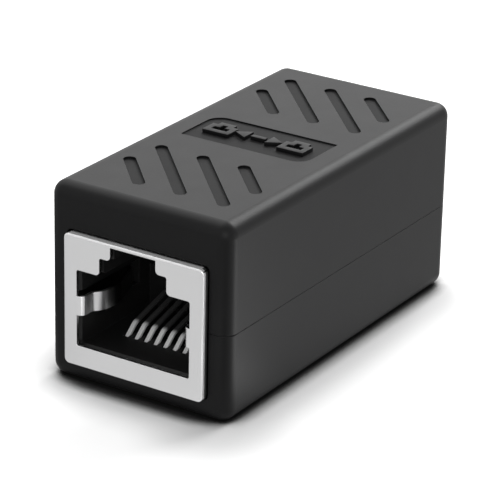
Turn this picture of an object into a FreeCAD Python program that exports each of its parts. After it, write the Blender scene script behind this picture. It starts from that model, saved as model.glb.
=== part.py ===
import FreeCAD, Part
import math
import os

# Shielded RJ45 inline coupler, in millimetres.
# X runs across the sockets, Y from the front socket to the rear one, Z up.
# The origin is at the middle of the underside, on the surface that the coupler stands on.
# The front jack is modelled in place, and the rear one is the same jack turned half way about Z.

Vector = FreeCAD.Vector

# Shell: two moulded halves that meet at the parting line
SHELL_WIDTH = 18.8
SHELL_LENGTH = 38.0
SHELL_HEIGHT = 18.4
SHELL_EDGE_RADIUS = 1.3
SIDE_WALL = 1.5
END_WALL = 1.5
FLOOR_WALL = 1.5
ROOF_WALL = 1.6
PARTING_HEIGHT = 8.3
PARTING_CHAMFER = 0.06

# Closing lip on the bottom half, with snap ridges that click into the top half
LIP_HEIGHT = 1.2
LIP_THICKNESS = 0.6
LIP_CLEARANCE = 0.08
LIP_END_MARGIN = 1.0
RIDGE_RISE = 0.18
RIDGE_HEIGHT = 0.5
RIDGE_LENGTH = 6.0
RIDGE_OFFSET = 9.0

# Ribs that hold the jacks and the circuit board
RIB_THICKNESS = 1.0
RIBS_PER_JACK = 3
CRADLE_HEIGHT = 0.45
RIB_SIDE_CLEARANCE = 0.05
CHANNEL_RIB_THICKNESS = 0.8
CHANNEL_DEPTH = 1.2

# Diagonal grooves on the roof, in one group near each end
GROOVE_ANGLE = 47.0
GROOVE_WIDTH = 1.15
GROOVE_DEPTH = 0.22
LONG_GROOVE_LENGTH = 12.0
SHORT_GROOVE_LENGTH = 6.8
LONG_GROOVE_X = 2.22
SHORT_GROOVE_X = 4.68
SHORT_GROOVE_Y = 2.03
GROOVE_GROUP_Y = 10.8

# Shallow panel between the groups of grooves
PANEL_WIDTH = 13.0
PANEL_LENGTH = 5.8
PANEL_CORNER_RADIUS = 1.5
PANEL_DEPTH = 0.14

# Socket opening: plug body, latch shoulder and latch, from the bottom up
PLUG_WIDTH = 11.8
SHOULDER_WIDTH = 6.98
LATCH_WIDTH = 4.7
PLUG_HEIGHT = 7.2
SHOULDER_HEIGHT = 1.65
OPENING_INNER_RADIUS = 0.2
OPENING_OUTER_RADIUS = 0.4
SILL_HEIGHT = 1.95

# Shield: a stamped can whose face plate stands proud of the shell
CAN_WIDTH = 14.5
CAN_HEIGHT = 12.35
CAN_PROUD = 0.7
CAN_CORNER_RADIUS = 0.5
CAN_FACE_RADIUS = 0.12
SHEET = 0.3
PORT_CLEARANCE = 0.15
CAN_STANDOFF = 1.7

# Grounding fingers, folded in from the sides of the opening
FINGER_WIDTH = 1.8
FINGER_HEIGHT = 3.8
FINGER_ROOT_REACH = 0.55
FINGER_WAIST_REACH = 0.5
FINGER_SHOULDER_REACH = 1.2
FINGER_CREST_REACH = 1.45
FINGER_TIP_REACH = 0.1
FINGER_WAIST_DEPTH = 1.45
FINGER_SHOULDER_DEPTH = 2.3
FINGER_CREST_DEPTH = 4.3
FINGER_TIP_DEPTH = 8.0
FINGER_ROOT_RADIUS = 0.45
FINGER_WAIST_RADIUS = 0.8
FINGER_SHOULDER_RADIUS = 1.6
FINGER_CREST_RADIUS = 1.6

# Solder legs of the shield: one low and one high, so that both cans share the board
LEG_WIDTH = 1.5
LEG_LOW_HEIGHT = 3.85
LEG_HIGH_HEIGHT = 8.25
LEG_PROUD = 0.8
LEG_CLEARANCE = 0.05

# Insulator
HOUSING_CLEARANCE = 0.05
HOUSING_EDGE_CHAMFER = 0.25
HOUSING_FRONT_GAP = 0.3
HOUSING_SETBACK = 0.2
MOUTH_LEAD_IN = 0.25
PLUG_STOP_DEPTH = 11.2
BACK_WALL_DEPTH = 12.8
LATCH_LEDGE_DEPTH = 1.9
LATCH_POCKET_DEPTH = 8.0
LATCH_POCKET_RISE = 2.3
FINGER_SLOT_DEPTH = 9.5
FINGER_SLOT_CLEARANCE = 0.25
COMB_HEIGHT = 3.9
COMB_SLOT_HEIGHT = 3.4
COMB_SLOT_DEPTH = 12.4
CATCH_DEPTH = 13.4
CATCH_HEIGHT = 9.65
CATCH_LENGTH = 1.7
CATCH_WIDTH = 1.2
CATCH_RISE = 0.2
CATCH_CLEARANCE = 0.12

# Spring contacts: flat wire, folded back over the floor of the socket
CONTACT_COUNT = 8
CONTACT_PITCH = 1.016
CONTACT_WIDTH = 0.4
CONTACT_THICKNESS = 0.25
CONTACT_SLOT_CLEARANCE = 0.08
CONTACT_RUN_BELOW_FLOOR = 0.97
CONTACT_FOLD_DEPTH = 4.72
CONTACT_FOLD_RADIUS = 0.45
CONTACT_RAMP_ANGLE = 40.0
CONTACT_KNEE_RISE = 0.75
CONTACT_KNEE_RADIUS = 0.6
CONTACT_TIP_RISE = 2.5
CONTACT_TIP_DEPTH = 11.9
CONTACT_RISER_GAP = 3.2
CONTACT_TAIL_PROUD = 0.9
TAIL_ROW_HEIGHT = 2.45
TAIL_ROW_STEP = 2.54
TONGUE_GAP = 0.3

# Contact carrier, moulded round the contacts
CARRIER_SIDE_MARGIN = 0.9
CARRIER_FRONT_MARGIN = 1.0
CARRIER_TOP_MARGIN = 0.9
CARRIER_CLEARANCE = 0.05

# Circuit board, standing across the middle of the shell
BOARD_THICKNESS = 1.2
BOARD_CLEARANCE = 0.05
BOARD_SIDE_CLEARANCE = 0.1
BOARD_TOP_CLEARANCE = 0.2
PIN_HOLE_WIDTH = 0.56
PIN_HOLE_SIDES = 6

# Planes that several pieces share
INNER_X = SHELL_WIDTH / 2 - SIDE_WALL
INNER_Y = SHELL_LENGTH / 2 - END_WALL
ROOF_Z = SHELL_HEIGHT - ROOF_WALL
FACE_Y = -(SHELL_LENGTH / 2 + CAN_PROUD)
BOARD_Y = BOARD_THICKNESS / 2
CAN_X = CAN_WIDTH / 2
CAN_BACK_Y = -(BOARD_Y + CAN_STANDOFF)
CAN_BOTTOM_Z = FLOOR_WALL + CRADLE_HEIGHT
CAN_TOP_Z = CAN_BOTTOM_Z + CAN_HEIGHT
CATCH_Z = CAN_BOTTOM_Z + CATCH_HEIGHT
HOUSING_X = CAN_X - SHEET - HOUSING_CLEARANCE
HOUSING_FRONT_Y = FACE_Y + SHEET + HOUSING_FRONT_GAP
HOUSING_BACK_Y = CAN_BACK_Y - HOUSING_SETBACK
HOUSING_BOTTOM_Z = CAN_BOTTOM_Z + SHEET
HOUSING_TOP_Z = CAN_TOP_Z - SHEET - HOUSING_CLEARANCE
SOCKET_FLOOR_Z = CAN_BOTTOM_Z + SILL_HEIGHT
SHOULDER_Z = SOCKET_FLOOR_Z + PLUG_HEIGHT
LATCH_Z = SHOULDER_Z + SHOULDER_HEIGHT
LATCH_TOP_Z = CAN_TOP_Z - SHEET
RUN_Z = SOCKET_FLOOR_Z - CONTACT_RUN_BELOW_FLOOR
TONGUE_TOP_Z = RUN_Z + CONTACT_THICKNESS / 2
RISER_Y = -(BOARD_Y + CONTACT_RISER_GAP)
CARRIER_X = (CONTACT_COUNT - 1) * CONTACT_PITCH / 2 + CONTACT_WIDTH / 2 + CARRIER_SIDE_MARGIN
CARRIER_TOP_Z = CAN_BOTTOM_Z + TAIL_ROW_HEIGHT + TAIL_ROW_STEP + CARRIER_TOP_MARGIN
CONTACT_SLOT_WIDTH = CONTACT_WIDTH + 2 * CONTACT_SLOT_CLEARANCE
CONTACT_FRONT_Y = FACE_Y + CONTACT_FOLD_DEPTH - CONTACT_FOLD_RADIUS - CONTACT_THICKNESS


def at_depth(depth):
    """Y of a plane that lies the given depth behind the face of the front socket."""
    return FACE_Y + depth


def box(x_range, y_range, z_range):
    """Box between two corners, given as one (low, high) pair for each axis."""
    (x0, x1), (y0, y1), (z0, z1) = x_range, y_range, z_range
    return Part.makeBox(x1 - x0, y1 - y0, z1 - z0, Vector(x0, y0, z0))


def across(half_width):
    """Range that is symmetric about zero."""
    return (-half_width, half_width)


def edges_along(shape, axis):
    """Straight edges of a shape that run parallel to one axis."""
    found = []
    for edge in shape.Edges:
        span = edge.Vertexes[-1].Point - edge.Vertexes[0].Point
        if span.Length > 1e-6 and abs(span.dot(axis)) > 0.9999 * span.Length:
            found.append(edge)
    return found


def rounded_polygon(corners, plane_point, plane_axes):
    """Closed face from (u, v, radius) corners, with an arc at every corner that has a radius."""
    u_axis, v_axis = plane_axes
    points = [plane_point + u_axis * u + v_axis * v for u, v, _ in corners]
    edges = []
    starts = []
    for index, (_, _, radius) in enumerate(corners):
        corner = points[index]
        before = (points[index - 1] - corner).normalize()
        after = (points[(index + 1) % len(points)] - corner).normalize()
        if radius == 0:
            starts.append((corner, corner))
            continue
        half_angle = before.getAngle(after) / 2
        reach = radius / math.tan(half_angle)
        centre = corner + (before + after).normalize() * (radius / math.sin(half_angle))
        middle = centre + (corner - centre).normalize() * radius
        entry = corner + before * reach
        leave = corner + after * reach
        edges.append(Part.Arc(entry, middle, leave).toShape())
        starts.append((entry, leave))
    for index, (_, leave) in enumerate(starts):
        entry = starts[(index + 1) % len(starts)][0]
        if leave.distanceToPoint(entry) > 1e-6:
            edges.append(Part.LineSegment(leave, entry).toShape())
    return Part.Face(Part.Wire(Part.__sortEdges__(edges)))


def upright_prism(corners, z_range):
    """Prism along Z over a rounded outline of (x, y, radius) corners."""
    face = rounded_polygon(corners, Vector(0, 0, z_range[0]), (Vector(1, 0, 0), Vector(0, 1, 0)))
    return face.extrude(Vector(0, 0, z_range[1] - z_range[0]))


def prism_along_y(corners, y_range):
    """Prism along Y with a rounded outline of (x, z, radius) corners."""
    face = rounded_polygon(corners, Vector(0, y_range[0], 0), (Vector(1, 0, 0), Vector(0, 0, 1)))
    return face.extrude(Vector(0, y_range[1] - y_range[0], 0))


def strip_corners(path, thickness):
    """Outline of a bent strip of sheet, as (u, v, radius) corners, from its middle line."""
    sides = ([], [])
    for index, (u, v, radius) in enumerate(path):
        here = Vector(u, v, 0)
        ahead = Vector(*path[min(index + 1, len(path) - 1)][:2], 0) - here
        behind = here - Vector(*path[max(index - 1, 0)][:2], 0)
        ahead = ahead if ahead.Length > 0 else behind
        behind = behind if behind.Length > 0 else ahead
        ahead.normalize()
        behind.normalize()
        normals = [Vector(-way.y, way.x, 0) for way in (behind, ahead)]
        mitre = (normals[0] + normals[1]).normalize()
        offset = mitre * (thickness / 2 / mitre.dot(normals[0]))
        turn = behind.cross(ahead).z
        for side, sign in zip(sides, (1, -1)):
            point = here + offset * sign
            bend = radius - math.copysign(thickness / 2, turn) * sign if radius else 0
            side.append((point.x, point.y, bend))
    return sides[0] + sides[1][::-1]


def half_turn(shape):
    """The same shape at the other end of the coupler."""
    turned = shape.copy()
    turned.rotate(Vector(0, 0, 0), Vector(0, 0, 1), 180)
    return turned


def both_ends(shape):
    """The shape and its turned copy."""
    return [shape, half_turn(shape)]


# ---------------------------------------------------------------- shell halves

def shell_half(z_range):
    """Solid half of the rounded outer block, with a fine chamfer round the parting line."""
    block = box(across(SHELL_WIDTH / 2), across(SHELL_LENGTH / 2), (0, SHELL_HEIGHT))
    block = block.makeFillet(SHELL_EDGE_RADIUS, block.Edges)
    half = block.common(box(across(SHELL_WIDTH), across(SHELL_LENGTH), z_range))
    seam = [edge for edge in half.Edges
            if edge.BoundBox.ZLength < 1e-6 and abs(edge.BoundBox.ZMin - PARTING_HEIGHT) < 1e-6]
    return half.makeChamfer(PARTING_CHAMFER, seam)


def shell_cavity():
    """Hollow inside the two halves."""
    return box(across(INNER_X), across(INNER_Y), (FLOOR_WALL, ROOF_Z))


def port():
    """Hole in the front wall that the shield comes through, resting on its lower edge."""
    hole = box(across(CAN_X + PORT_CLEARANCE), (-SHELL_LENGTH, -INNER_Y + END_WALL / 2),
               (CAN_BOTTOM_Z, CAN_TOP_Z + PORT_CLEARANCE))
    return hole.makeFillet(CAN_CORNER_RADIUS, edges_along(hole, Vector(0, 1, 0)))


def lip(clearance=0):
    """Tongue along both side walls, or with a clearance the rebate that takes it."""
    outer_x = INNER_X + LIP_THICKNESS + clearance
    middle_z = PARTING_HEIGHT + LIP_HEIGHT / 2
    ridge_reach = RIDGE_HEIGHT / 2 + clearance
    half_length = RIDGE_LENGTH / 2 + clearance
    ridge = [(INNER_X, middle_z - ridge_reach, 0), (outer_x, middle_z - ridge_reach, 0),
             (outer_x + RIDGE_RISE, middle_z, 0),
             (outer_x, middle_z + ridge_reach, 0), (INNER_X, middle_z + ridge_reach, 0)]
    rail = box((INNER_X, outer_x), across(INNER_Y - LIP_END_MARGIN + clearance),
               (PARTING_HEIGHT, PARTING_HEIGHT + LIP_HEIGHT + clearance))
    ridges = [prism_along_y(ridge, (y - half_length, y + half_length)) for y in across(RIDGE_OFFSET)]
    return both_ends(rail.multiFuse(ridges).removeSplitter())


def cradle_positions():
    """Y of the ribs under the front jack, evenly spaced between the end wall and its back."""
    front = -INNER_Y + RIB_THICKNESS
    back = CAN_BACK_Y - RIB_THICKNESS
    step = (back - front) / (RIBS_PER_JACK - 1)
    return [front + step * index for index in range(RIBS_PER_JACK)]


def rib_frame(y_range, z_range, window_z):
    """Rib across the shell with a window as wide as a jack."""
    rib = box(across(INNER_X + SIDE_WALL / 2), y_range, z_range)
    window = box(across(CAN_X + RIB_SIDE_CLEARANCE), (y_range[0] - 1, y_range[1] + 1), window_z)
    return rib.cut(window)


def ribs(z_range, cradle_window, channel_window):
    """Cradle ribs for both jacks and the pair of channel ribs that hold the board."""
    found = []
    for y in cradle_positions():
        found.append(rib_frame((y - RIB_THICKNESS / 2, y + RIB_THICKNESS / 2), z_range, cradle_window))
    channel_y = -(BOARD_Y + BOARD_CLEARANCE)
    found.append(rib_frame((channel_y - CHANNEL_RIB_THICKNESS, channel_y), z_range, channel_window))
    return [rib for front in found for rib in both_ends(front)]


def bottom_shell():
    """Lower half: floor, walls, ribs and the closing lip."""
    below = (-1, PARTING_HEIGHT)
    body = shell_half(below).cut([shell_cavity()] + both_ends(port()))
    rib_zone = (FLOOR_WALL / 2, PARTING_HEIGHT)
    supports = ribs(rib_zone, (CAN_BOTTOM_Z, SHELL_HEIGHT), (FLOOR_WALL + CHANNEL_DEPTH, SHELL_HEIGHT))
    return body.multiFuse(supports + lip()).removeSplitter()


def top_shell():
    """Upper half: roof with its recesses, walls, ribs and the rebate for the lip."""
    above = (PARTING_HEIGHT, SHELL_HEIGHT + 1)
    body = shell_half(above).cut([shell_cavity()] + both_ends(port()))
    rib_zone = (PARTING_HEIGHT + LIP_HEIGHT + LIP_CLEARANCE, SHELL_HEIGHT - ROOF_WALL / 2)
    supports = ribs(rib_zone, (0, CAN_TOP_Z), (0, ROOF_Z - CHANNEL_DEPTH))
    body = body.multiFuse(supports).removeSplitter()
    return body.cut(lip(LIP_CLEARANCE) + grooves() + [panel()]).removeSplitter()


def groove(x, y, length):
    """Obround recess in the roof, along the common diagonal."""
    reach = length / 2
    radius = GROOVE_WIDTH / 2
    corners = [(-reach, -radius, radius), (reach, -radius, radius),
               (reach, radius, radius), (-reach, radius, radius)]
    cutter = upright_prism(corners, (SHELL_HEIGHT - GROOVE_DEPTH, SHELL_HEIGHT + GROOVE_DEPTH))
    cutter.rotate(Vector(0, 0, 0), Vector(0, 0, 1), -GROOVE_ANGLE)
    cutter.translate(Vector(x, y, 0))
    return cutter


def grooves():
    """Two long grooves between two short ones, near each end."""
    group = []
    for sign in (-1, 1):
        group.append(groove(sign * LONG_GROOVE_X, -GROOVE_GROUP_Y, LONG_GROOVE_LENGTH))
        group.append(groove(sign * SHORT_GROOVE_X, sign * SHORT_GROOVE_Y - GROOVE_GROUP_Y,
                            SHORT_GROOVE_LENGTH))
    return [cutter for front in group for cutter in both_ends(front)]


def panel():
    """Shallow recess in the middle of the roof, with two opposite corners rounded."""
    x, y = PANEL_WIDTH / 2, PANEL_LENGTH / 2
    corners = [(-x, -y, 0), (x, -y, PANEL_CORNER_RADIUS), (x, y, 0), (-x, y, PANEL_CORNER_RADIUS)]
    return upright_prism(corners, (SHELL_HEIGHT - PANEL_DEPTH, SHELL_HEIGHT + PANEL_DEPTH))


# ---------------------------------------------------------------- shield

def socket_opening():
    """Stepped opening through the face plate, for a plug with its latch upwards."""
    inner, outer = OPENING_INNER_RADIUS, OPENING_OUTER_RADIUS
    plug, shoulder, latch = PLUG_WIDTH / 2, SHOULDER_WIDTH / 2, LATCH_WIDTH / 2
    right = [(plug, SOCKET_FLOOR_Z, inner), (plug, SHOULDER_Z, inner), (shoulder, SHOULDER_Z, outer),
             (shoulder, LATCH_Z, inner), (latch, LATCH_Z, outer), (latch, LATCH_TOP_Z, 0)]
    left = [(-x, z, radius) for x, z, radius in reversed(right)]
    return prism_along_y(right + left, (FACE_Y - SHEET, at_depth(2 * SHEET)))


def can_envelope(inset, y_range):
    """Outside of the can, or with an inset the surface that far within it."""
    solid = box(across(CAN_X - inset), y_range, (CAN_BOTTOM_Z + inset, CAN_TOP_Z - inset))
    return solid.makeFillet(CAN_CORNER_RADIUS - inset, edges_along(solid, Vector(0, 1, 0)))


def front_edges(shape, y):
    """Edges of a shape that lie in one plane across Y."""
    return [edge for edge in shape.Edges
            if edge.BoundBox.YLength < 1e-6 and abs(edge.BoundBox.YMin - y) < 1e-6]


def ground_finger():
    """Spring finger on the right: folded in at the opening, bowed towards the plug and let out again."""
    edge_x = PLUG_WIDTH / 2
    middle = SHEET / 2
    path = [(edge_x + SHEET, FACE_Y + middle, 0),
            (edge_x - FINGER_ROOT_REACH, FACE_Y + middle, FINGER_ROOT_RADIUS),
            (edge_x - FINGER_WAIST_REACH, at_depth(FINGER_WAIST_DEPTH), FINGER_WAIST_RADIUS),
            (edge_x - FINGER_SHOULDER_REACH, at_depth(FINGER_SHOULDER_DEPTH), FINGER_SHOULDER_RADIUS),
            (edge_x - FINGER_CREST_REACH, at_depth(FINGER_CREST_DEPTH), FINGER_CREST_RADIUS),
            (edge_x - FINGER_TIP_REACH, at_depth(FINGER_TIP_DEPTH), 0)]
    middle_z = SOCKET_FLOOR_Z + FINGER_HEIGHT
    half_width = FINGER_WIDTH / 2
    return upright_prism(strip_corners(path, SHEET), (middle_z - half_width, middle_z + half_width))


def mirrored(shape):
    """Shape mirrored from the right side to the left."""
    return shape.mirror(Vector(0, 0, 0), Vector(1, 0, 0))


def catch_window():
    """Hole in the right wall of the can for the catch of the insulator."""
    half_length = CATCH_LENGTH / 2 + CATCH_CLEARANCE
    half_width = CATCH_WIDTH / 2 + CATCH_CLEARANCE
    y = at_depth(CATCH_DEPTH)
    return box((CAN_X - 2 * SHEET, CAN_X + SHEET), (y - half_length, y + half_length),
               (CATCH_Z - half_width, CATCH_Z + half_width))


def leg(height, clearance):
    """Solder leg at the right side of the can, or with a clearance its slot in the board."""
    middle_z = CAN_BOTTOM_Z + height
    half_width = LEG_WIDTH / 2 + clearance
    return box((CAN_X - SHEET - clearance, CAN_X + clearance), (CAN_BACK_Y - SHEET, BOARD_Y + LEG_PROUD),
               (middle_z - half_width, middle_z + half_width))


def legs(clearance=0):
    """Both legs: the low one on the left and the high one on the right."""
    return [mirrored(leg(LEG_LOW_HEIGHT, clearance)), leg(LEG_HIGH_HEIGHT, clearance)]


def shield():
    """Can with its face plate, open at the back."""
    outer = can_envelope(0, (FACE_Y, CAN_BACK_Y))
    outer = outer.makeFillet(CAN_FACE_RADIUS, front_edges(outer, FACE_Y))
    inner = can_envelope(SHEET, (FACE_Y + SHEET, CAN_BACK_Y + 1))
    window = catch_window()
    can = outer.cut([inner, socket_opening(), window, mirrored(window)])
    finger = ground_finger()
    return can.multiFuse([finger, mirrored(finger)] + legs()).removeSplitter()


# ---------------------------------------------------------------- insulator

def contact_positions():
    """X of the contacts, from left to right."""
    first = -(CONTACT_COUNT - 1) * CONTACT_PITCH / 2
    return [first + CONTACT_PITCH * index for index in range(CONTACT_COUNT)]


def housing_block():
    """Outside of the insulator, with the room for the plug body and a lead-in round its mouth."""
    block = box(across(HOUSING_X), (HOUSING_FRONT_Y, HOUSING_BACK_Y), (HOUSING_BOTTOM_Z, HOUSING_TOP_Z))
    block = block.makeChamfer(HOUSING_EDGE_CHAMFER, edges_along(block, Vector(0, 1, 0)))
    block = block.cut(box(across(PLUG_WIDTH / 2), (HOUSING_FRONT_Y, at_depth(PLUG_STOP_DEPTH)),
                          (SOCKET_FLOOR_Z, SHOULDER_Z)))
    mouth = [edge for edge in front_edges(block, HOUSING_FRONT_Y)
             if edge.BoundBox.XMax < HOUSING_X and edge.BoundBox.XMin > -HOUSING_X
             and edge.BoundBox.ZMin > HOUSING_BOTTOM_Z and edge.BoundBox.ZMax < HOUSING_TOP_Z]
    return block.makeChamfer(MOUTH_LEAD_IN, mouth)


def plug_cavity():
    """Cutters for the nose, shoulder and latch of the plug, and the room behind the latch ledges."""
    plug_x, latch_x, shoulder_x = PLUG_WIDTH / 2, LATCH_WIDTH / 2, SHOULDER_WIDTH / 2
    comb_top = SOCKET_FLOOR_Z + COMB_HEIGHT
    return [
        box(across(plug_x), (at_depth(PLUG_STOP_DEPTH), at_depth(BACK_WALL_DEPTH)), (comb_top, SHOULDER_Z)),
        box(across(shoulder_x), (HOUSING_FRONT_Y, at_depth(BACK_WALL_DEPTH)), (SHOULDER_Z, LATCH_Z)),
        box(across(latch_x), (HOUSING_FRONT_Y, at_depth(LATCH_POCKET_DEPTH)), (LATCH_Z, CAN_TOP_Z)),
        box(across(shoulder_x), (at_depth(LATCH_LEDGE_DEPTH), at_depth(LATCH_POCKET_DEPTH)),
            (SHOULDER_Z, SHOULDER_Z + LATCH_POCKET_RISE)),
    ]


def contact_slots():
    """Slots for the contacts through the floor and up the comb at the back of the cavity."""
    slots = []
    for x in contact_positions():
        x_range = (x - CONTACT_SLOT_WIDTH / 2, x + CONTACT_SLOT_WIDTH / 2)
        slots.append(box(x_range, (CONTACT_FRONT_Y, at_depth(COMB_SLOT_DEPTH)),
                         (TONGUE_TOP_Z, SOCKET_FLOOR_Z)))
        slots.append(box(x_range, (at_depth(PLUG_STOP_DEPTH), at_depth(COMB_SLOT_DEPTH)),
                         (SOCKET_FLOOR_Z, SOCKET_FLOOR_Z + COMB_SLOT_HEIGHT)))
    return slots


def finger_slots():
    """Slots in both side walls that let the grounding fingers give way."""
    half_width = FINGER_WIDTH / 2 + FINGER_SLOT_CLEARANCE
    middle_z = SOCKET_FLOOR_Z + FINGER_HEIGHT
    slot = box((PLUG_WIDTH / 2, CAN_X), (HOUSING_FRONT_Y, at_depth(FINGER_SLOT_DEPTH)),
               (middle_z - half_width, middle_z + half_width))
    return [slot, mirrored(slot)]


def carrier_pocket():
    """Room for the contact carrier: a low tunnel under the floor and a block at the back."""
    x_range = across(CARRIER_X + CARRIER_CLEARANCE)
    block_front = RISER_Y - CARRIER_FRONT_MARGIN - CARRIER_CLEARANCE
    return [
        box(x_range, (CONTACT_FRONT_Y, CAN_BACK_Y), (CAN_BOTTOM_Z, TONGUE_TOP_Z)),
        box(x_range, (block_front, CAN_BACK_Y), (CAN_BOTTOM_Z, CARRIER_TOP_Z + CARRIER_CLEARANCE)),
    ]


def catches():
    """Ramped catches on both sides that click into the windows of the can."""
    front = at_depth(CATCH_DEPTH - CATCH_LENGTH / 2)
    back = at_depth(CATCH_DEPTH + CATCH_LENGTH / 2)
    corners = [(HOUSING_X - SHEET, front, 0), (HOUSING_X, front, 0),
               (HOUSING_X + CATCH_RISE, back, 0), (HOUSING_X - SHEET, back, 0)]
    ramp = upright_prism(corners, (CATCH_Z - CATCH_WIDTH / 2, CATCH_Z + CATCH_WIDTH / 2))
    return [ramp, mirrored(ramp)]


def housing():
    """Insulator that guides the plug and the free ends of the contacts."""
    body = housing_block().multiFuse(catches())
    cutters = plug_cavity() + contact_slots() + finger_slots() + carrier_pocket()
    return body.cut(cutters).removeSplitter()


# ---------------------------------------------------------------- contacts and carrier

def tail_height(index):
    """Z of the tail of a contact. Neighbours leave the carrier at different heights."""
    return CAN_BOTTOM_Z + TAIL_ROW_HEIGHT + (index % 2) * TAIL_ROW_STEP


def contact_path(tail_z):
    """Middle line of a contact in the YZ plane: tail, riser, run under the floor, fold and spring.

    The spring climbs out of the floor on a steep ramp and goes on to the comb at a gentler slope.
    The two bends of the riser are square, since they are moulded into the carrier.
    """
    ramp = math.radians(CONTACT_RAMP_ANGLE)
    fold_y = at_depth(CONTACT_FOLD_DEPTH) - CONTACT_FOLD_RADIUS / math.tan(ramp / 2)
    knee_z = SOCKET_FLOOR_Z + CONTACT_KNEE_RISE
    knee_y = fold_y + (knee_z - RUN_Z) / math.tan(ramp)
    return [(BOARD_Y + CONTACT_TAIL_PROUD, tail_z, 0),
            (RISER_Y, tail_z, 0),
            (RISER_Y, RUN_Z, 0),
            (fold_y, RUN_Z, CONTACT_FOLD_RADIUS),
            (knee_y, knee_z, CONTACT_KNEE_RADIUS),
            (at_depth(CONTACT_TIP_DEPTH), SOCKET_FLOOR_Z + CONTACT_TIP_RISE, 0)]


def contact(index):
    """One spring contact, from the left."""
    x = contact_positions()[index]
    corners = strip_corners(contact_path(tail_height(index)), CONTACT_THICKNESS)
    face = rounded_polygon(corners, Vector(x - CONTACT_WIDTH / 2, 0, 0), (Vector(0, 1, 0), Vector(0, 0, 1)))
    return face.extrude(Vector(CONTACT_WIDTH, 0, 0))


def carrier(contacts):
    """Block and tongue that are moulded round the contacts."""
    tongue_front = at_depth(CONTACT_FOLD_DEPTH + TONGUE_GAP)
    tongue = box(across(CARRIER_X), (tongue_front, HOUSING_BACK_Y), (HOUSING_BOTTOM_Z, TONGUE_TOP_Z))
    block = box(across(CARRIER_X), (RISER_Y - CARRIER_FRONT_MARGIN, HOUSING_BACK_Y),
                (HOUSING_BOTTOM_Z, CARRIER_TOP_Z))
    return tongue.fuse(block).removeSplitter().cut(contacts).removeSplitter()


# ---------------------------------------------------------------- circuit board

def pin_hole(x, z):
    """Hole through the board for the tail of one contact."""
    reach = PIN_HOLE_WIDTH / 2 / math.cos(math.pi / PIN_HOLE_SIDES)
    corners = []
    for index in range(PIN_HOLE_SIDES):
        angle = 2 * math.pi * (index + 0.5) / PIN_HOLE_SIDES
        corners.append((x + reach * math.cos(angle), z + reach * math.sin(angle), 0))
    return prism_along_y(corners, across(BOARD_THICKNESS))


def circuit_board():
    """Board across the middle, with pin holes and leg slots for both jacks."""
    board = box(across(INNER_X - BOARD_SIDE_CLEARANCE), across(BOARD_Y),
                (FLOOR_WALL, ROOF_Z - BOARD_TOP_CLEARANCE))
    cutters = legs(LEG_CLEARANCE)
    for index, x in enumerate(contact_positions()):
        cutters.append(pin_hole(x, tail_height(index)))
    return board.cut([cutter for front in cutters for cutter in both_ends(front)])


# ---------------------------------------------------------------- all pieces

def jack():
    """Every piece of the front jack, by name."""
    contacts = [contact(index) for index in range(CONTACT_COUNT)]
    pieces = {"shield": shield(), "housing": housing(), "contact_carrier": carrier(contacts)}
    for index, shape in enumerate(contacts):
        pieces["contact_%d" % (index + 1)] = shape
    return pieces


def coupler():
    """Every piece of the coupler, by node name."""
    pieces = {"bottom_shell": bottom_shell(), "top_shell": top_shell(), "circuit_board": circuit_board()}
    for name, shape in jack().items():
        pieces["front_" + name] = shape
        pieces["rear_" + name] = half_turn(shape)
    return pieces


def main():
    """Writes one STEP file for each piece."""
    os.makedirs("parts", exist_ok=True)
    for name, shape in coupler().items():
        print("%-24s %s solids %d volume %.3f" % (name, shape.isValid(), len(shape.Solids), shape.Volume))
        shape.exportStep("parts/%s.step" % name)


main()
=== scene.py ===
"""Studio scene of a shielded inline network coupler, dressed round its CAD frame.

Lengths are metres in the frame of the CAD model. X runs across the sockets, Y from the front
socket to the rear one, and Z up from the surface that the coupler stands on.
"""
import logging
import math
from dataclasses import dataclass
from enum import Enum
from typing import Any, Callable

import bpy
from mathutils import Matrix, Vector


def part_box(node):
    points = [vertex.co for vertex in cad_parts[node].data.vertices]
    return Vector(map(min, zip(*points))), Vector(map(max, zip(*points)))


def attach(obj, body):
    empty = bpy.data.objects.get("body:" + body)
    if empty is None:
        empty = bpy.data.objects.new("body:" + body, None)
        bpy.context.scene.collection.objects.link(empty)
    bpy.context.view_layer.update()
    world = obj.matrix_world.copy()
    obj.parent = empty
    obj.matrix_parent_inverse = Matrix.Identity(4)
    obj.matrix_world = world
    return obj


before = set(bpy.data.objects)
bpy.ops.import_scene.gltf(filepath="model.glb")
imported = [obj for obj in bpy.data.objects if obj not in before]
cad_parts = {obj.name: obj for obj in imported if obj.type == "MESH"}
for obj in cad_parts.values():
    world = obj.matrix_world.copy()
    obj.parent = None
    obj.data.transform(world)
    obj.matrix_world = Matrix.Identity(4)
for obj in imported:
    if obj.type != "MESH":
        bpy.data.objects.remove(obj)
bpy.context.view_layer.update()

LOG = logging.getLogger("coupler")
BODY = "root"
MM = 0.001
Colour = tuple[float, float, float]
Stops = tuple[tuple[float, float], ...]


# ------------------------------------------------------------------ shader graph

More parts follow.
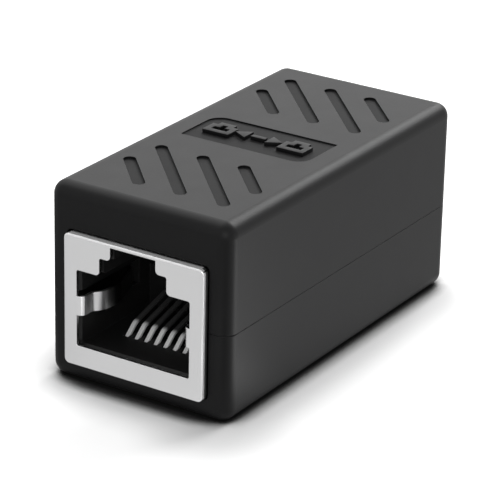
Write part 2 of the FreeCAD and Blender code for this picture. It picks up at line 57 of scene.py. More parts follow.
class Signal:
    """One output socket of a shader graph, ready for Python arithmetic.

    Every operation on a signal adds one Math node, with the other operand as a link or a number.
    """

    def __init__(self, graph: "Graph", socket: bpy.types.NodeSocket) -> None:
        """Wraps a socket.

        Args:
            graph: The graph that the socket's node belongs to.
            socket: The output socket.
        """
        self.graph = graph
        self.socket = socket

    def math(self, operation: str, *operands: Any) -> "Signal":
        """Adds a Math node.

        Args:
            operation: The node's operation, such as "ADD".
            operands: Its operands in order, as signals or numbers.

        Returns:
            The node's result.
        """
        return self.graph.signal("ShaderNodeMath", {"operation": operation},
                                 dict(enumerate(operands)))

    def __add__(self, other: Any) -> "Signal":
        """Sum of the signal and a signal or number."""
        return self.math("ADD", self, other)

    def __radd__(self, other: Any) -> "Signal":
        """Sum with the number first."""
        return self.math("ADD", other, self)

    def __sub__(self, other: Any) -> "Signal":
        """Difference from a signal or number."""
        return self.math("SUBTRACT", self, other)

    def __rsub__(self, other: Any) -> "Signal":
        """Difference with the number first."""
        return self.math("SUBTRACT", other, self)

    def __mul__(self, other: Any) -> "Signal":
        """Product with a signal or number."""
        return self.math("MULTIPLY", self, other)

    def __rmul__(self, other: Any) -> "Signal":
        """Product with the number first."""
        return self.math("MULTIPLY", other, self)

    def clamped(self) -> "Signal":
        """The signal held between 0 and 1."""
        return self.math("MINIMUM", self.math("MAXIMUM", self, 0.0), 1.0)

    def largest(self, other: Any) -> "Signal":
        """The larger of the signal and another one."""
        return self.math("MAXIMUM", self, other)

    def magnitude(self) -> "Signal":
        """The signal without its sign."""
        return self.math("ABSOLUTE", self)

    def above(self, limit: float) -> "Signal":
        """1 where the signal is over a limit, and 0 elsewhere."""
        return self.math("GREATER_THAN", self, limit)

    def below(self, limit: float) -> "Signal":
        """1 where the signal is under a limit, and 0 elsewhere."""
        return self.math("LESS_THAN", self, limit)


class Graph:
    """The node tree of one material or world, built from nothing."""

    BEVEL_SAMPLES = 6
    EDGE_GAIN = 4.0
    # Numbers of a Mix node's colour sockets, which share their names with its other kinds.
    MIX_FACTOR, MIX_UNDER, MIX_OVER, MIX_COLOUR = 0, 6, 7, 2

    def __init__(self, tree: bpy.types.NodeTree) -> None:
        """Empties a node tree.

        Args:
            tree: The tree to build in.
        """
        self.tree = tree
        tree.nodes.clear()

    def node(self, kind: str, settings: dict[str, Any] | None = None,
             inputs: dict[Any, Any] | None = None) -> bpy.types.Node:
        """Adds a node.

        Args:
            kind: The node's type.
            settings: Its settings, which are set first. "stops" gives a ramp its stops.
            inputs: Signals, shader sockets or plain values for its inputs, by name or number.

        Returns:
            The node.
        """
        made = self.tree.nodes.new(kind)
        for key, value in (settings or {}).items():
            if key == "stops":
                self._set_stops(made.color_ramp, value)
            else:
                setattr(made, key, value)
        for key, value in (inputs or {}).items():
            if isinstance(value, Signal):
                value = value.socket
            if isinstance(value, bpy.types.NodeSocket):
                self.tree.links.new(value, made.inputs[key])
            else:
                made.inputs[key].default_value = value
        return made

    def signal(self, kind: str, settings: dict[str, Any] | None = None,
               inputs: dict[Any, Any] | None = None, output: Any = 0) -> Signal:
        """Adds a node and gives one of its outputs.

        Args:
            kind: The node's type.
            settings: Its settings.
            inputs: Its inputs.
            output: The name or number of the output.

        Returns:
            That output.
        """
        return Signal(self, self.node(kind, settings, inputs).outputs[output])

    @staticmethod
    def _set_stops(ramp: bpy.types.ColorRamp, stops: Stops) -> None:
        """Gives a ramp its stops.

        Args:
            ramp: The ramp, with the two stops that a new one has.
            stops: Place and grey level of each stop, from left to right.
        """
        for _ in stops[2:]:
            ramp.elements.new(0.5)
        for element, (place, grey) in zip(ramp.elements, stops):
            element.position = place
            element.color = (grey, grey, grey, 1.0)

    def place(self, stretch: tuple[float, float, float] = (1.0, 1.0, 1.0)) -> Signal:
        """Position on the object in metres, stretched along the axes.

        Args:
            stretch: Factors for X, Y and Z.

        Returns:
            The position.
        """
        origin = self.signal("ShaderNodeTexCoord", output="Object")
        return self.signal("ShaderNodeMapping", inputs={"Vector": origin, "Scale": stretch})

    def coordinate(self, axis: str) -> Signal:
        """Position on the object along one axis, in metres."""
        return self.signal("ShaderNodeSeparateXYZ", inputs={0: self.place()}, output=axis)

    def measured(self, operation: str, *vectors: Any) -> Signal:
        """Adds a Vector Math node that gives a number.

        Args:
            operation: The node's operation, such as "DISTANCE".
            vectors: Its operands in order, as signals or plain vectors.

        Returns:
            The number.
        """
        return self.signal("ShaderNodeVectorMath", {"operation": operation},
                           dict(enumerate(vectors)), output="Value")

    def noise(self, where: Signal, size: float, detail: float = 2.0) -> Signal:
        """Smooth noise between 0 and 1.

        Args:
            where: The position to read it at.
            size: Length of one feature in metres.
            detail: Number of finer octaves.

        Returns:
            The noise.
        """
        return self.signal("ShaderNodeTexNoise",
                           inputs={"Vector": where, "Scale": 1.0 / size, "Detail": detail})

    def faded(self, value: Signal, limits: tuple[float, float],
              low: float = 0.0, high: float = 1.0) -> Signal:
        """Smooth step between two levels.

        Args:
            value: What it depends on.
            limits: The values where the step starts and ends.
            low: The level up to the first limit.
            high: The level from the second limit on.

        Returns:
            The level.
        """
        return self.signal("ShaderNodeMapRange", {"interpolation_type": "SMOOTHSTEP"},
                           {0: value, 1: limits[0], 2: limits[1], 3: low, 4: high})

    def ramped(self, value: Signal, stops: Stops) -> Signal:
        """Level that is read off a row of stops.

        Args:
            value: What it depends on, between 0 and 1.
            stops: Place and level of each stop, from left to right.

        Returns:
            The level.
        """
        return self.signal("ShaderNodeValToRGB", {"stops": stops}, {"Fac": value})

    def mixed(self, under: Colour | Signal, over: Colour | Signal, factor: Signal) -> Signal:
        """Blend of two colours.

        Args:
            under: The colour at 0.
            over: The colour at 1.
            factor: The blend.

        Returns:
            The colour.
        """
        first, second = (colour if isinstance(colour, Signal) else (*colour, 1.0)
                         for colour in (under, over))
        return self.signal(
            "ShaderNodeMix", {"data_type": "RGBA"},
            {self.MIX_FACTOR: factor, self.MIX_UNDER: first, self.MIX_OVER: second},
            output=self.MIX_COLOUR)

    def rounded_normal(self, radius: float) -> Signal:
        """Surface normal with every edge rounded over.

        Args:
            radius: Radius of the rounding in metres.

        Returns:
            The normal.
        """
        return self.signal("ShaderNodeBevel", {"samples": self.BEVEL_SAMPLES}, {"Radius": radius})

    def edge_mask(self, rounded: Signal) -> Signal:
        """How close a point is to an edge: 0 on flat faces and up to 1 at edges.

        Args:
            rounded: The rounded normal.

        Returns:
            The mask.
        """
        flat = self.signal("ShaderNodeNewGeometry", output="Normal")
        alike = self.measured("DOT_PRODUCT", rounded, flat)
        return ((1.0 - alike) * self.EDGE_GAIN).clamped()

    def bumped(self, height: Signal, depth: float, normal: Signal) -> Signal:
        """Normal with a fine relief on it.

        Args:
            height: The relief, between 0 and 1.
            depth: Its depth in metres.
            normal: The normal under it.

        Returns:
            The new normal.
        """
        return self.signal("ShaderNodeBump",
                           inputs={"Height": height, "Distance": depth, "Normal": normal})

    def finish_with(self, shader: bpy.types.Node) -> None:
        """Wires a shader to the surface output.

        Args:
            shader: The node that gives the surface.
        """
        self.node("ShaderNodeOutputMaterial", inputs={"Surface": shader.outputs[0]})


def new_material(name: str) -> tuple[bpy.types.Material, Graph]:
    """Makes an empty node material.

    Args:
        name: The material's name.

    Returns:
        The material and its graph.
    """
    material = bpy.data.materials.new(name)
    material.use_nodes = True
    return material, Graph(material.node_tree)


# ------------------------------------------------------------------ finishes

@dataclass(frozen=True)
class MouldedPlastic:
    """Dull black moulding with a fine spark-eroded grain and edges that handling has polished
    and lightened, their lighter colour partly a painted highlight.
    """

    name: str
    dark: Colour
    light: Colour
    roughness: float
    specular: float
    grain_size: float = 0.16 * MM
    grain_depth: float = 0.004 * MM
    grain_roughness: float = 0.05
    cloud_size: float = 3.0 * MM
    cloud_detail: float = 3.0
    cloud_roughness: float = 0.06
    cloud_share: float = 0.6
    edge_radius: float = 0.025 * MM
    # Lighter colour of the edges: partly handling wear, partly painted highlight.
    edge_highlight_colour: Colour = (0.09, 0.09, 0.092)
    edge_highlight_share: float = 0.5
    edge_polish: float = 0.12
    recess_range: tuple[float, float] = (17.9 * MM, 18.36 * MM)
    recess_flatness: float = 0.99
    recess_roughness: float = 0.22

    def _recessed(self, graph: Graph) -> Signal:
        """1 on the level floors of the shallow recesses in the roof, where the moulding is coarser.

        Args:
            graph: The graph to read it in.

        Returns:
            The mask.
        """
        height = graph.coordinate("Z")
        normal = graph.signal("ShaderNodeNewGeometry", output="True Normal")
        upward = graph.signal("ShaderNodeSeparateXYZ", inputs={0: normal}, output="Z")
        low, high = self.recess_range
        return height.above(low) * height.below(high) * upward.above(self.recess_flatness)

    def material(self) -> bpy.types.Material:
        """Builds the finish as a material.

        Returns:
            The material.
        """
        material, graph = new_material(self.name)
        where = graph.place()
        clouds = graph.noise(where, self.cloud_size, self.cloud_detail)
        grain = graph.noise(where, self.grain_size)
        rounded = graph.rounded_normal(self.edge_radius)
        edge = graph.edge_mask(rounded)
        mottling = clouds * self.cloud_share + grain * (1.0 - self.cloud_share)
        body = graph.mixed(self.dark, self.light, mottling)
        variation = clouds * self.cloud_roughness + grain * self.grain_roughness
        mean_variation = (self.cloud_roughness + self.grain_roughness) / 2
        roughness = variation - edge * self.edge_polish + (self.roughness - mean_variation)
        shader = graph.node("ShaderNodeBsdfPrincipled", inputs={
            # Edges lightened in colour: handling wear and painted highlight.
            "Base Color": graph.mixed(body, self.edge_highlight_colour, edge * self.edge_highlight_share),
            "Roughness": roughness + self._recessed(graph) * self.recess_roughness,
            "Specular IOR Level": self.specular,
            "Normal": graph.bumped(grain, self.grain_depth, rounded),
        })
        graph.finish_with(shader)
        return material


@dataclass(frozen=True)
class PlatedMetal:
    """Satin plating on rolled sheet: a faint grain along the rolling, and burnished edges whose
    lighter colour is partly a painted highlight.

    The kinds of plating below differ in what they add to its colour, metallic level and roughness.
    """

    name: str
    dark: Colour
    light: Colour
    roughness: float
    stretch: tuple[float, float, float]
    grain_size: float = 0.10 * MM
    grain_detail: float = 3.0
    grain_depth: float = 0.0006 * MM
    grain_roughness: float = 0.06
    grain_share: float = 0.5
    cloud_size: float = 2.5 * MM
    cloud_roughness: float = 0.04
    edge_radius: float = 0.05 * MM
    # Lighter colour of the edges: partly burnish, partly painted highlight.
    edge_highlight_colour: Colour = (0.93, 0.93, 0.94)
    edge_highlight_share: float = 0.6
    edge_polish: float = 0.08

    def _shaded(self, graph: Graph, colour: Signal) -> Signal:
        """The colour where the plating is even."""
        return colour

    def _metallic_level(self, graph: Graph) -> Signal | float:
        """The metallic level where the plating is even."""
        return 1.0

    def _roughened(self, graph: Graph, roughness: Signal) -> Signal:
        """The roughness where the sheet is flat."""
        return roughness

    def material(self) -> bpy.types.Material:
        """Builds the finish as a material.

        Returns:
            The material.
        """
        material, graph = new_material(self.name)
        rolling = graph.noise(graph.place(self.stretch), self.grain_size, self.grain_detail)
        clouds = graph.noise(graph.place(), self.cloud_size)
        rounded = graph.rounded_normal(self.edge_radius)
        edge = graph.edge_mask(rounded)
        mottling = rolling * self.grain_share + clouds * (1.0 - self.grain_share)
        body = graph.mixed(self.dark, self.light, mottling)
        # Edges lightened in colour: burnish and painted highlight.
        colour = graph.mixed(body, self.edge_highlight_colour, edge * self.edge_highlight_share)
        variation = rolling * self.grain_roughness + clouds * self.cloud_roughness
        mean_variation = (self.grain_roughness + self.cloud_roughness) / 2
        roughness = variation - edge * self.edge_polish + (self.roughness - mean_variation)
        shader = graph.node("ShaderNodeBsdfPrincipled", inputs={
            "Base Color": self._shaded(graph, colour),
            "Metallic": self._metallic_level(graph),
            "Roughness": self._roughened(graph, roughness),
            "Normal": graph.bumped(rolling, self.grain_depth, rounded),
        })
        graph.finish_with(shader)
        return material


@dataclass(frozen=True)
class ShieldNickel(PlatedMetal):
    """Nickel on the can of a jack: bright on its face, duller on its flanks, with painted shade
    inside.
    """

    half_width: float = 7.25 * MM
    top: float = 14.2 * MM
    flank_slack: float = 0.06 * MM
    flank_dullness: float = 0.65
    flank_range: tuple[float, float] = (18.95 * MM, 19.18 * MM)
    inner_wall: float = 6.85 * MM
    inner_depth: float = 19.35 * MM
    inner_roughness: float = 0.07
    # Painted shade: dark colour on the inner side walls and deep inside the can.
    inner_shade_range: tuple[float, float] = (15.9 * MM, 17.2 * MM)
    inner_shade_colour: Colour = (0.08, 0.08, 0.08)

    def _flank(self, graph: Graph) -> Signal:
        """1 on the outer flanks and the top of the can towards its mouth.

        Args:
            graph: The graph to read it in.

        Returns:
            The mask.
        """
        beside = graph.coordinate("X").magnitude().above(self.half_width - self.flank_slack)
        over = graph.coordinate("Z").above(self.top - self.flank_slack)
        towards_mouth = graph.faded(graph.coordinate("Y").magnitude(), self.flank_range)
        return beside.largest(over) * towards_mouth

    def _inside(self, graph: Graph) -> Signal:
        """1 behind the face of the can, where folding has roughened the sheet."""
        return graph.coordinate("Y").magnitude().below(self.inner_depth)

    def _inner_shade(self, graph: Graph) -> Signal:
        """1 on the side walls behind the face and deep inside, where shade is painted.

        Args:
            graph: The graph to read it in.

        Returns:
            The mask.
        """
        beside = graph.coordinate("X").magnitude().above(self.inner_wall)
        deep = 1.0 - graph.faded(graph.coordinate("Y").magnitude(), self.inner_shade_range)
        return (beside * self._inside(graph)).largest(deep)

    def _shaded(self, graph: Graph, colour: Signal) -> Signal:
        """The colour, with painted shade on the inner side walls and deep inside."""
        # Painted shade inside the can.
        return graph.mixed(colour, self.inner_shade_colour, self._inner_shade(graph))

    def _metallic_level(self, graph: Graph) -> Signal:
        """The metallic level, lower on the flanks."""
        return 1.0 - self._flank(graph) * self.flank_dullness

    def _roughened(self, graph: Graph, roughness: Signal) -> Signal:
        """The roughness, higher inside."""
        return roughness + self._inside(graph) * self.inner_roughness


@dataclass(frozen=True)
class ContactTin(PlatedMetal):
    """Matt tin on the contacts, with painted shade that darkens them further in."""

    metallic: float = 0.25
    # Painted shade: each contact goes dark from here inwards.
    unshaded_from: float = 13.95 * MM
    shade_fade: float = 0.25 * MM
    deep_shade_share: float = 0.06
    deep_shade_colour: Colour = (0.0, 0.0, 0.0)

    def _shaded(self, graph: Graph, colour: Signal) -> Signal:
        """The colour, darkened by painted shade further in.

        Args:
            graph: The graph to read it in.
            colour: The colour of the tin.

        Returns:
            The colour along the whole contact.
        """
        # Painted shade deeper in the socket.
        limits = (self.unshaded_from - self.shade_fade, self.unshaded_from + self.shade_fade)
        unshaded = graph.faded(graph.coordinate("Y").magnitude(), limits, self.deep_shade_share)
        return graph.mixed(self.deep_shade_colour, colour, unshaded)

    def _metallic_level(self, graph: Graph) -> float:
        """The metallic level, low because the tin is matt."""
        return self.metallic


@dataclass(frozen=True)
class SolderMask:
    """Green solder mask over woven glass cloth."""

    name: str = "board_mask"
    dark: Colour = (0.006, 0.035, 0.016)
    light: Colour = (0.012, 0.062, 0.028)
    roughness: float = 0.28
    thread_pitch: float = 0.45 * MM
    weave_depth: float = 0.004 * MM
    weave_share: float = 0.5
    unevenness: float = 0.4
    cloud_size: float = 2.0 * MM
    cloud_detail: float = 3.0
    cloud_roughness: float = 0.1
    # Scale of a Wave node that gives one band in each unit of length.
    band_scale: float = 0.314

    def material(self) -> bpy.types.Material:
        """Builds the finish as a material.

        Returns:
            The material.
        """
        material, graph = new_material(self.name)
        where = graph.place()
        threads = {"Vector": where, "Scale": self.band_scale / self.thread_pitch,
                   "Distortion": self.unevenness}
        warp, weft = (graph.signal("ShaderNodeTexWave", {"bands_direction": axis}, threads)
                      for axis in ("X", "Z"))
        weave = warp.largest(weft)
        clouds = graph.noise(where, self.cloud_size, self.cloud_detail)
        mottling = weave * self.weave_share + clouds * (1.0 - self.weave_share)
        normal = graph.signal("ShaderNodeNewGeometry", output="Normal")
        shader = graph.node("ShaderNodeBsdfPrincipled", inputs={
            "Base Color": graph.mixed(self.dark, self.light, mottling),
            "Roughness": clouds * self.cloud_roughness + self.roughness,
            "Normal": graph.bumped(weave, self.weave_depth, normal),
        })
        graph.finish_with(shader)
        return material


class Finish(Enum):
    """The finishes of the coupler."""

    SHELL = MouldedPlastic("shell_black", (0.006, 0.006, 0.0063), (0.0085, 0.0085, 0.0088),
                           roughness=0.42, specular=0.13)
    INSULATOR = MouldedPlastic("insulator_black", (0.009, 0.009, 0.009), (0.013, 0.013, 0.013),
                               roughness=0.42, specular=0.22, grain_size=0.1 * MM,
                               grain_depth=0.002 * MM, edge_radius=0.05 * MM)
    SHIELD = ShieldNickel("shield_nickel", (0.84, 0.84, 0.845), (0.90, 0.90, 0.905),
                          roughness=0.24, stretch=(1.0, 1.0, 0.06))
    CONTACT = ContactTin("contact_tin", (0.86, 0.86, 0.86), (0.93, 0.93, 0.92),
                         roughness=0.58, stretch=(1.0, 0.08, 1.0), grain_size=0.06 * MM,
                         edge_radius=0.04 * MM)
    BOARD = SolderMask()


class Wardrobe:
    """Makes each finish once and puts it on pieces."""

    def __init__(self) -> None:
        """Starts with no material made."""
        self._made: dict[Finish, bpy.types.Material] = {}

    def material(self, finish: Finish) -> bpy.types.Material:
        """Gives the material of a finish.

        Args:
            finish: The finish.

        Returns:
            Its material, made at the first call.
        """
        if finish not in self._made:
            self._made[finish] = finish.value.material()
        return self._made[finish]

    def dress_node(self, node: str, finish: Finish) -> None:
        """Puts a finish on a CAD node.

        Args:
            node: The node's name.
            finish: The finish.
        """
        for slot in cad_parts[node].material_slots:
            slot.material = self.material(finish)
        LOG.info("dressed %s in %s", node, finish.value.name)


# ------------------------------------------------------------------ modelling

def deselect_all() -> None:
    """Clears the selection, in which the CAD nodes start."""
    bpy.ops.object.select_all(action="DESELECT")


def delete_faces(piece: bpy.types.Object, unwanted: Callable[[Vector], bool]) -> None:
    """Deletes the faces of a piece that stand at given places.

    Args:
        piece: The active object.
        unwanted: Test of a face's centre.
    """
    bpy.ops.object.mode_set(mode="EDIT")
    bpy.ops.mesh.select_mode(type="FACE")
    bpy.ops.mesh.select_all(action="DESELECT")
    bpy.ops.object.mode_set(mode="OBJECT")
    for face in piece.data.polygons:
        face.select = unwanted(face.center)
    bpy.ops.object.mode_set(mode="EDIT")
    bpy.ops.mesh.delete(type="FACE")
    bpy.ops.object.mode_set(mode="OBJECT")


def copied(piece: bpy.types.Object, shift: float, turn: float = 0.0) -> bpy.types.Object:
    """Copies a piece along X, with its own mesh.

    Args:
        piece: The piece.
        shift: How far along X the copy stands.
        turn: How far it is turned about Z, in radians.

    Returns:
        The copy.
    """
    deselect_all()
    piece.select_set(True)
    bpy.context.view_layer.objects.active = piece
    bpy.ops.object.duplicate(linked=False)
    copy = bpy.context.object
    copy.location.x += shift
    copy.rotation_euler.z += turn
    return copy


def joined(pieces: list[bpy.types.Object], name: str) -> bpy.types.Object:
    """Joins pieces into one, whose object sits at the origin.

    Args:
        pieces: The pieces.
        name: The name of the whole.

    Returns:
        The whole.
    """
    deselect_all()
    for piece in pieces:
        piece.select_set(True)
    bpy.context.view_layer.objects.active = pieces[0]
    bpy.ops.object.join()
    bpy.ops.object.transform_apply(location=True, rotation=True, scale=True)
    whole = bpy.context.object
    whole.name = whole.data.name = name
    return whole


def raise_faces(height: float) -> None:
    """Makes the flat faces of the active object into closed blocks.

    Args:
        height: The height of the blocks.
    """
    bpy.ops.object.mode_set(mode="EDIT")
    bpy.ops.mesh.select_all(action="SELECT")
    bpy.ops.mesh.extrude_region_move(TRANSFORM_OT_translate={"value": (0.0, 0.0, height)})
    bpy.ops.mesh.select_all(action="SELECT")
    bpy.ops.mesh.normals_make_consistent(inside=False)
    bpy.ops.object.mode_set(mode="OBJECT")


def break_edges(piece: bpy.types.Object, width: float, segments: int = 3) -> None:
    """Rounds the sharp edges of a piece.

    Args:
        piece: The active object.
        width: The width of the rounding.
        segments: Number of facets across it.
    """
    bevel = piece.modifiers.new("rounding", "BEVEL")
    bevel.width = width
    bevel.segments = segments
    bevel.limit_method = "ANGLE"
    bpy.ops.object.modifier_apply(modifier=bevel.name)
    bpy.ops.object.shade_smooth_by_angle()


# ------------------------------------------------------------------ sub-assemblies

@dataclass
class Shell:
    """The two moulded halves and the board between the jacks."""

    wardrobe: Wardrobe

    def build(self) -> None:
        """Dresses the halves and the board."""
        for node in ("bottom_shell", "top_shell"):
            self.wardrobe.dress_node(node, Finish.SHELL)
        self.wardrobe.dress_node("circuit_board", Finish.BOARD)


@dataclass
class RoofSymbol:
    """Raised pictogram in the panel of the roof: two sockets with a double arrow between them."""

    wardrobe: Wardrobe
    panel_depth: float = 0.14 * MM
    sink: float = 0.03 * MM
    rise: float = 0.36 * MM
    rounding: float = 0.02 * MM
    socket_offset: float = 3.95 * MM
    socket_size: tuple[float, float] = (2.75 * MM, 2.4 * MM)
    head_offset: float = 1.55 * MM
    head_radius: float = 0.95 * MM
    shaft_size: tuple[float, float] = (1.5 * MM, 0.5 * MM)
    columns: int = 5
    rows: int = 4
    open_cells: tuple[tuple[int, int], ...] = ((1, 1), (2, 1), (3, 1), (2, 2), (0, 3), (4, 3))

    def _socket(self, height: float) -> bpy.types.Object:
        """Draws the outline of a socket, with its latch channel at the far side.

        Args:
            height: Z of the outline.

        Returns:
            The outline, as flat faces.
        """
        deselect_all()
        bpy.ops.mesh.primitive_grid_add(x_subdivisions=self.columns, y_subdivisions=self.rows,
                                        size=1.0, location=(-self.socket_offset, 0.0, height))
        outline = bpy.context.object
        outline.scale = (*self.socket_size, 1.0)

        def is_open(centre: Vector) -> bool:
            """Tells whether a cell is left out of the outline.

            Args:
                centre: The cell's centre on the unscaled grid, which runs from -0.5 to 0.5.

            Returns:
                True if it stays open.
            """
            column, row = int((centre.x + 0.5) * self.columns), int((centre.y + 0.5) * self.rows)
            return (column, row) in self.open_cells

        delete_faces(outline, is_open)
        return outline

    def _arrow_head(self, height: float) -> bpy.types.Object:
        """Draws the left head of the arrow.

        Args:
            height: Z of the head.

        Returns:
            The head, as one flat face.
        """
        deselect_all()
        bpy.ops.mesh.primitive_circle_add(vertices=3, radius=self.head_radius, fill_type="NGON",
                                          location=(-self.head_offset, 0.0, height),
                                          rotation=(0.0, 0.0, math.pi / 2))
        return bpy.context.object

    def _shaft(self, height: float) -> bpy.types.Object:
        """Draws the shaft of the arrow.

        Args:
            height: Z of the shaft.

        Returns:
            The shaft, as one flat face.
        """
        deselect_all()
        bpy.ops.mesh.primitive_plane_add(size=1.0, location=(0.0, 0.0, height))
        shaft = bpy.context.object
        shaft.scale = (*self.shaft_size, 1.0)
        return shaft

    def build(self) -> None:
        """Models and dresses the symbol."""
        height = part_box("top_shell")[1][2] - self.panel_depth - self.sink
        socket, head = self._socket(height), self._arrow_head(height)
        parts = [socket, copied(socket, 2 * self.socket_offset), head,
                 copied(head, 2 * self.head_offset, math.pi), self._shaft(height)]
        symbol = joined(parts, "roof_symbol")
        raise_faces(self.rise + self.sink)
        break_edges(symbol, self.rounding)
        symbol.data.materials.append(self.wardrobe.material(Finish.SHELL))
        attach(symbol, BODY)
        LOG.info("modelled %s with %d faces", symbol.name, len(symbol.data.polygons))


class End(Enum):
    """The two ends of the coupler."""

    FRONT = "front"
    REAR = "rear"


@dataclass
class Jack:
    """One socket: shield, insulator, carrier and spring contacts."""

    wardrobe: Wardrobe
    end: End
    contact_count: int = 8

    def build(self) -> None:
        """Dresses every node of the jack."""
        self.wardrobe.dress_node(f"{self.end.value}_shield", Finish.SHIELD)
        for part in ("housing", "contact_carrier"):
            self.wardrobe.dress_node(f"{self.end.value}_{part}", Finish.INSULATOR)
        for number in range(1, self.contact_count + 1):
            self.wardrobe.dress_node(f"{self.end.value}_contact_{number}", Finish.CONTACT)


# ------------------------------------------------------------------ studio

@dataclass(frozen=True)
class Lamp:
    """A rectangular softbox, with its power in watts."""

    name: str
    position: tuple[float, float, float]
    size: tuple[float, float]
    power: float
    target: tuple[float, float, float] = (0.0, 0.0, 0.01)

    def build(self) -> None:
        """Hangs the softbox."""
        data = bpy.data.lights.new(self.name, "AREA")
        data.shape = "RECTANGLE"
        data.size, data.size_y = self.size
        data.energy = self.power
        lamp = bpy.data.objects.new(self.name, data)
        bpy.context.scene.collection.objects.link(lamp)
        lamp.location = self.position
        aim = Vector(self.target) - Vector(self.position)
        lamp.rotation_euler = aim.to_track_quat("-Z", "Y").to_euler()
        LOG.info("hung %s", self.name)


@dataclass(frozen=True)
class FloorPatch:
    """A soft-edged round patch on the floor, whose tone is a factor on the floor's own light:
    painted light above 1 and painted shade below it.
    """

    place: tuple[float, float]
    reach: float
    tone: float

    def applied(self, graph: Graph, tone: Signal) -> Signal:
        """Lays the patch over the floor's tone.

        Args:
            graph: The graph of the floor.
            tone: The tone without the patch.

        Returns:
            The tone with it.
        """
        distance = graph.measured("DISTANCE", graph.place(), (*self.place, 0.0))
        return tone * graph.faded(distance, (0.0, self.reach), self.tone)


@dataclass
class Studio:
    """White floor, white surroundings, softboxes and the camera.

    Patches of painted reflection are seen only in reflections, and patches of painted shadow only
    by the camera. The camera's angles are in degrees and its lens in millimetres.
    """

    floor_side: float = 6.0
    floor_drop: float = 0.02 * MM
    contact_reach: float = 3.0 * MM
    # Painted contact shadow: the paper's colour darkens where the floor is closed in under the
    # coupler.
    contact_stops: Stops = ((0.42, 0.02), (0.555, 0.25), (0.64, 0.70), (0.72, 0.94))
    lift_reach: float = 6.0 * MM
    lift_stops: Stops = ((0.66, 0.0), (0.78, 0.35), (0.90, 0.80), (1.0, 1.0))
    openness_samples: int = 8
    near_lift: float = 0.36
    far_lift: float = 0.6
    far_range: tuple[float, float] = (60.0 * MM, 200.0 * MM)
    mirror_stops: Stops = ((0.42, 0.03), (0.75, 1.0))
    mirror_direction: tuple[float, float, float] = (math.sqrt(0.5), math.sqrt(0.5), 0.0)
    # Painted reflection tone: in reflections the floor is dimmer in front and brighter to the side.
    mirror_front: float = 0.66
    mirror_side: float = 1.12
    mirror_blend: float = 20.0 * MM
    surround_light: float = 0.35
    camera_position: tuple[float, float, float] = (0.1238905, -0.1966889, 0.1063188)
    camera_yaw: float = -32.349
    camera_pitch: float = -23.015
    camera_roll: float = 1.266
    camera_lens: float = 199.204
    camera_clip: tuple[float, float] = (0.01, 20.0)
    painted_reflections: tuple[FloorPatch, ...] = (
        # Painted highlight: a light line down the upright edge between the front and the right
        # side.
        FloorPatch((0.019, -0.012), reach=0.009, tone=5.0),
        FloorPatch((0.031, -0.005), reach=0.013, tone=5.5),
        FloorPatch((0.046, 0.003), reach=0.017, tone=6.5),
        # Painted dark reflection beside it, towards the front.
        FloorPatch((0.017, -0.029), reach=0.007, tone=0.0),
        FloorPatch((0.024, -0.037), reach=0.013, tone=0.0),
        FloorPatch((0.034, -0.050), reach=0.018, tone=0.0),
        # Painted highlight on the flat of the grounding finger.
        FloorPatch((0.008, -0.034), reach=0.007, tone=2.6),
        # Painted dark reflection on the left edge of the front.
        FloorPatch((-0.028, -0.014), reach=0.024, tone=0.0),
        FloorPatch((-0.045, -0.006), reach=0.026, tone=0.0),
    )
    shades: tuple[FloorPatch, ...] = (
        # Painted shadow: deeper at the nearest corner, and lighter before the front.
        FloorPatch((0.0095, -0.021), reach=0.0085, tone=0.0),
        FloorPatch((-0.007, -0.024), reach=0.008, tone=1.5),
    )
    lamps: tuple[Lamp, ...] = (
        Lamp("overhead_softbox", (-0.28, 0.10, 0.47), size=(0.42, 0.42), power=1.1),
        Lamp("rim_softbox", (0.04, 0.47, 0.372), size=(0.35, 0.22), power=2.5,
             target=(0.0, 0.0, 0.015)),
        Lamp("back_softbox", (-0.30, 0.48, 0.26), size=(0.30, 0.30), power=0.33),
        Lamp("right_softbox", (0.60, 0.20, 0.16), size=(0.30, 0.30), power=0.20),
        Lamp("mouth_softbox", (0.22, -0.40, 0.19), size=(0.30, 0.30), power=0.62),
    )

    def build(self) -> None:
        """Sets up the whole studio."""
        bpy.context.scene.view_settings.view_transform = "Standard"
        self._surroundings()
        self._floor()
        for lamp in self.lamps:
            lamp.build()
        self._camera()

    @staticmethod
    def _camera_rays(graph: Graph) -> Signal:
        """1 for rays that come straight from the camera.

        Args:
            graph: The graph to read it in.

        Returns:
            The mask.
        """
        return graph.signal("ShaderNodeLightPath", output="Is Camera Ray")

    @staticmethod
    def _mirror_rays(graph: Graph) -> Signal:
        """1 for rays that show the surroundings in a reflection or through glass.

        Args:
            graph: The graph to read it in.

        Returns:
            The mask.
        """
        glossy, through = (graph.signal("ShaderNodeLightPath", output=name)
                           for name in ("Is Glossy Ray", "Is Transmission Ray"))
        return glossy.largest(through)

    def _openness(self, graph: Graph, reach: float) -> Signal:
        """How open the floor is above a point: 0 right under the coupler and 1 away from it.

        Args:
            graph: The graph to read it in.
            reach: How far away the coupler still counts, in metres.

        Returns:
            The openness.
        """
        return graph.signal("ShaderNodeAmbientOcclusion", {"samples": self.openness_samples},
                            {"Distance": reach}, output="AO")

    def _surroundings(self) -> None:
        """Makes the world: white to look at, and dimmer as a light."""
        world = bpy.data.worlds.new("white_surroundings")
        bpy.context.scene.world = world
        world.use_nodes = True
        graph = Graph(world.node_tree)
        seen = self._camera_rays(graph).largest(self._mirror_rays(graph))
        strength = seen * (1.0 - self.surround_light) + self.surround_light
        background = graph.node("ShaderNodeBackground", inputs={
            "Color": (1.0, 1.0, 1.0, 1.0), "Strength": strength})
        graph.node("ShaderNodeOutputWorld", inputs={"Surface": background.outputs[0]})

    def _seen_floor(self, graph: Graph, near: Signal) -> bpy.types.Node:
        """Paper that keeps the lamps' shadow, with a painted contact shadow in its colour, and a
        glow with painted shades in it that turns it white away from the coupler.

        Args:
            graph: The graph of the floor.
            near: The openness close above the floor.

        Returns:
            The shader.
        """
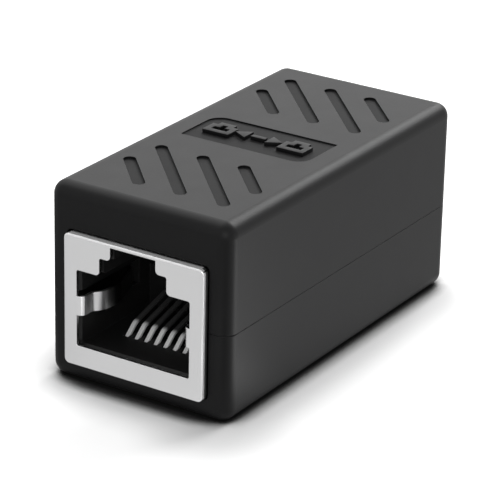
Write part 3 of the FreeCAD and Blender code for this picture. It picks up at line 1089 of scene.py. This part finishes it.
        # Painted contact shadow in the paper's colour.
        paper = graph.node("ShaderNodeBsdfDiffuse",
                           inputs={"Color": graph.ramped(near, self.contact_stops)})
        open_floor = graph.ramped(self._openness(graph, self.lift_reach), self.lift_stops)
        lift = open_floor * self.near_lift
        # Painted shadow patches in the glow.
        for shade in self.shades:
            lift = shade.applied(graph, lift)
        distance = graph.measured("LENGTH", graph.place())
        lift = lift + graph.faded(distance, self.far_range, 0.0, self.far_lift)
        glow = graph.node("ShaderNodeEmission",
                          inputs={"Strength": self._camera_rays(graph) * lift})
        return graph.node("ShaderNodeAddShader", inputs={0: paper.outputs[0], 1: glow.outputs[0]})

    def _mirrored_floor(self, graph: Graph, near: Signal) -> bpy.types.Node:
        """Light that reflections show, dimmer in front than to the side, with painted patches on it
        and a painted shadow of the coupler.

        Args:
            graph: The graph of the floor.
            near: The openness close above the floor.

        Returns:
            The shader.
        """
        # Painted reflection: dimmer floor in front, brighter to the side.
        across = graph.measured("DOT_PRODUCT", graph.place(), self.mirror_direction)
        tone = graph.faded(across, (-self.mirror_blend, self.mirror_blend),
                           self.mirror_front, self.mirror_side)
        for reflection_patch in self.painted_reflections:
            tone = reflection_patch.applied(graph, tone)
        # Painted shadow of the coupler, seen in reflections.
        shadow = graph.ramped(near, self.mirror_stops)
        return graph.node("ShaderNodeEmission", inputs={"Strength": tone * shadow})

    def _floor(self) -> None:
        """Lays the floor, which keeps the shadow, partly painted, and is white beyond it."""
        deselect_all()
        bpy.ops.mesh.primitive_plane_add(size=self.floor_side,
                                         location=(0.0, 0.0, -self.floor_drop))
        floor = bpy.context.object
        floor.name = "studio_floor"
        bpy.ops.object.transform_apply(location=True, rotation=True, scale=True)
        material, graph = new_material("floor_paper")
        near = self._openness(graph, self.contact_reach)
        graph.finish_with(graph.node("ShaderNodeMixShader", inputs={
            0: self._mirror_rays(graph),
            1: self._seen_floor(graph, near).outputs[0],
            2: self._mirrored_floor(graph, near).outputs[0],
        }))
        floor.data.materials.append(material)
        LOG.info("laid %s", floor.name)

    def _camera(self) -> None:
        """Sets up the camera at its viewing angle."""
        data = bpy.data.cameras.new("studio_camera")
        data.lens = self.camera_lens
        data.clip_start, data.clip_end = self.camera_clip
        camera = bpy.data.objects.new("studio_camera", data)
        bpy.context.scene.collection.objects.link(camera)
        bpy.context.scene.camera = camera
        yaw, pitch, roll = (math.radians(angle) for angle in
                            (self.camera_yaw, self.camera_pitch, self.camera_roll))
        forward = Vector((math.sin(yaw) * math.cos(pitch), math.cos(yaw) * math.cos(pitch),
                          math.sin(pitch)))
        level_right = forward.cross(Vector((0.0, 0.0, 1.0))).normalized()
        level_up = level_right.cross(forward)
        right = math.cos(roll) * level_right + math.sin(roll) * level_up
        up = math.cos(roll) * level_up - math.sin(roll) * level_right
        turn = Matrix((right, up, -forward)).transposed()
        camera.matrix_world = Matrix.Translation(self.camera_position) @ turn.to_4x4()
        LOG.info("set the camera")


# ------------------------------------------------------------------ all together


def main() -> None:
    """Builds the coupler and its studio."""
    logging.basicConfig(level=logging.INFO, format="%(message)s")
    wardrobe = Wardrobe()
    Shell(wardrobe).build()
    RoofSymbol(wardrobe).build()
    for end in End:
        Jack(wardrobe, end).build()
    Studio().build()


if __name__ == "__main__":
    main()
